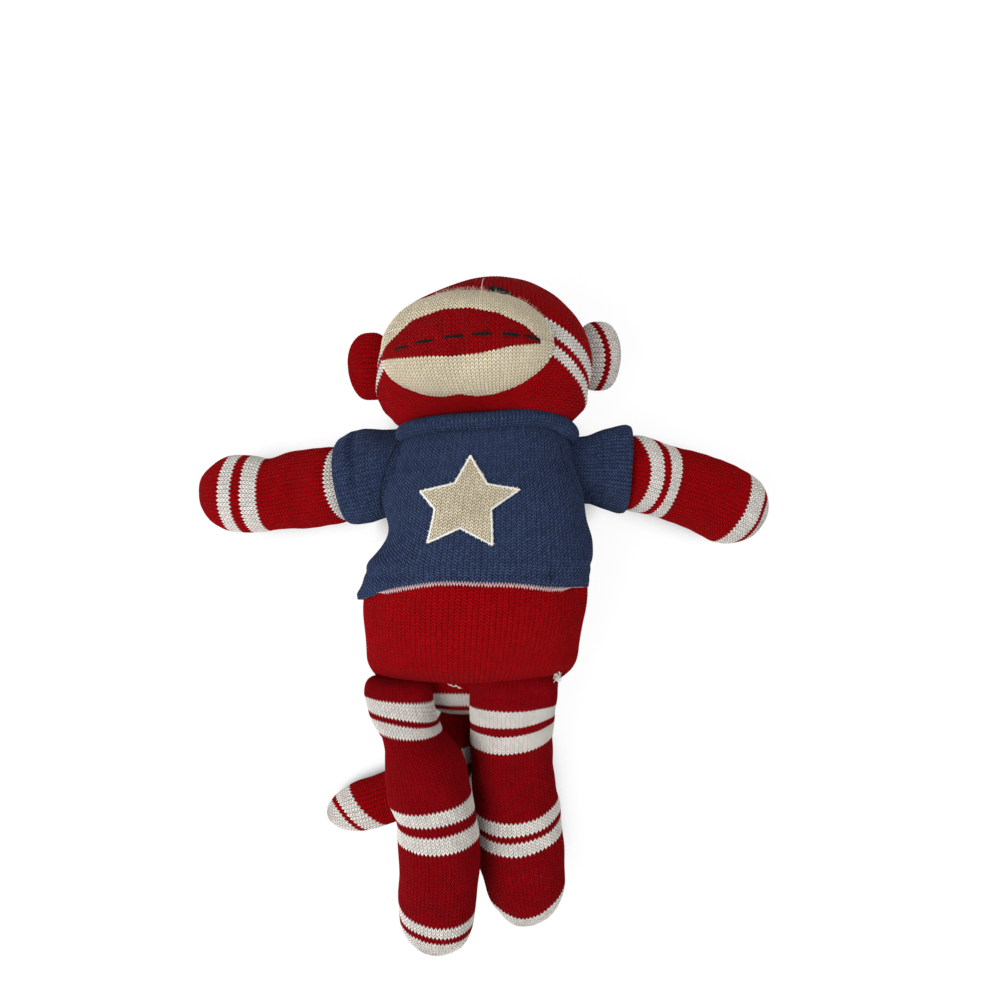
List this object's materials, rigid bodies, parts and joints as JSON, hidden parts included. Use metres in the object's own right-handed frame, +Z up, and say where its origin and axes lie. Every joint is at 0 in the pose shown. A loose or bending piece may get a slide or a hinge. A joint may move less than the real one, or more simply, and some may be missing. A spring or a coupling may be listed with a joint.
{
  "type": "sock monkey doll",
  "caption": "Stuffed knitted sock monkey doll lying on its back, in a short-sleeved sweater with a star patch, with striped limbs and a bent tail.",
  "frame": {"origin": "centre of the doll's footprint, on the surface it lies on", "axes": "+Y from the feet to the head, +Z up from the surface, +X towards the doll's own left"},
  "size_m": [0.313, 0.3496, 0.1041],
  "materials": {
    "red_knit": "matt knitted",
    "cream_knit": "matt knitted",
    "blue_knit": "matt knitted",
    "stuffing": "loose fibre",
    "black_thread": "matt thread"
  },
  "bodies": {
    "torso": {"torso_skin": "red_knit", "torso_stuffing": "stuffing", "sweater_body": "blue_knit", "star_patch": "cream_knit"},
    "collar": {"sweater_collar": "blue_knit"},
    "head": {"head_skin": "red_knit", "head_stuffing": "stuffing", "muzzle_skin": "cream_knit", "muzzle_stuffing": "stuffing", "eye_left": "black_thread", "eye_right": "black_thread"},
    "ear_left": {"ear_left": "red_knit"},
    "ear_right": {"ear_right": "red_knit"},
    "tail": {"tail_skin": "red_knit", "tail_stuffing": "stuffing"},
    "sleeve_left": {"sweater_sleeve_left": "blue_knit"},
    "arm_left": {"arm_left_skin": "red_knit", "arm_left_stuffing": "stuffing"},
    "leg_left": {"leg_left_skin": "red_knit", "leg_left_stuffing": "stuffing"},
    "sleeve_right": {"sweater_sleeve_right": "blue_knit"},
    "arm_right": {"arm_right_skin": "red_knit", "arm_right_stuffing": "stuffing"},
    "leg_right": {"leg_right_skin": "red_knit", "leg_right_stuffing": "stuffing"}
  },
  "joints": [
    {"name": "neck_turn", "type": "hinge", "parent": "torso", "child": "collar", "pos_m": [0.00188, 0.09886, 0.04247], "axis": [-0.026, 0.9941, 0.1055], "range_deg": [-35, 35], "deforming": ["sweater_collar"]},
    {"name": "neck_nod", "type": "hinge", "parent": "collar", "child": "head", "pos_m": [0.00188, 0.09886, 0.04247], "axis": [-0.9747, -0.0018, -0.2237], "range_deg": [-10, 15], "deforming": ["sweater_collar"]},
    {"name": "tail_swing", "type": "hinge", "parent": "torso", "child": "tail", "pos_m": [-0.01536, -0.05973, 0.01488], "axis": [0, 0, 1], "range_deg": [-25, 12]},
    {"name": "ear_fold_left", "type": "hinge", "parent": "head", "child": "ear_left", "pos_m": [0.05229, 0.1361, 0.03902], "axis": [0.026, -0.9941, -0.1055], "range_deg": [-20, 20], "stiffness_Nm_per_rad": 0.01},
    {"name": "shoulder_raise_left", "type": "hinge", "parent": "torso", "child": "sleeve_left", "pos_m": [0.05661, 0.07681, 0.03175], "axis": [0, 0, 1], "range_deg": [-10, 45], "deforming": ["sweater_sleeve_left"]},
    {"name": "shoulder_swing_left", "type": "hinge", "parent": "sleeve_left", "child": "arm_left", "pos_m": [0.05661, 0.07681, 0.03175], "axis": [0, -1, 0], "range_deg": [-15, 55], "deforming": ["sweater_sleeve_left"]},
    {"name": "hip_left", "type": "hinge", "parent": "torso", "child": "leg_left", "pos_m": [0.01634, -0.04004, 0.04496], "axis": [-1, 0, 0], "range_deg": [0, 70]},
    {"name": "ear_fold_right", "type": "hinge", "parent": "head", "child": "ear_right", "pos_m": [-0.05158, 0.13123, 0.03767], "axis": [-0.026, 0.9941, 0.1055], "range_deg": [-20, 20], "stiffness_Nm_per_rad": 0.01},
    {"name": "shoulder_raise_right", "type": "hinge", "parent": "torso", "child": "sleeve_right", "pos_m": [-0.05593, 0.07328, 0.03175], "axis": [0, 0, -1], "range_deg": [-10, 45], "deforming": ["sweater_sleeve_right"]},
    {"name": "shoulder_swing_right", "type": "hinge", "parent": "sleeve_right", "child": "arm_right", "pos_m": [-0.05593, 0.07328, 0.03175], "axis": [0, 1, 0], "range_deg": [-15, 55], "deforming": ["sweater_sleeve_right"]},
    {"name": "hip_right", "type": "hinge", "parent": "torso", "child": "leg_right", "pos_m": [-0.04463, -0.04196, 0.04496], "axis": [-1, 0, 0], "range_deg": [0, 70]}
  ]
}
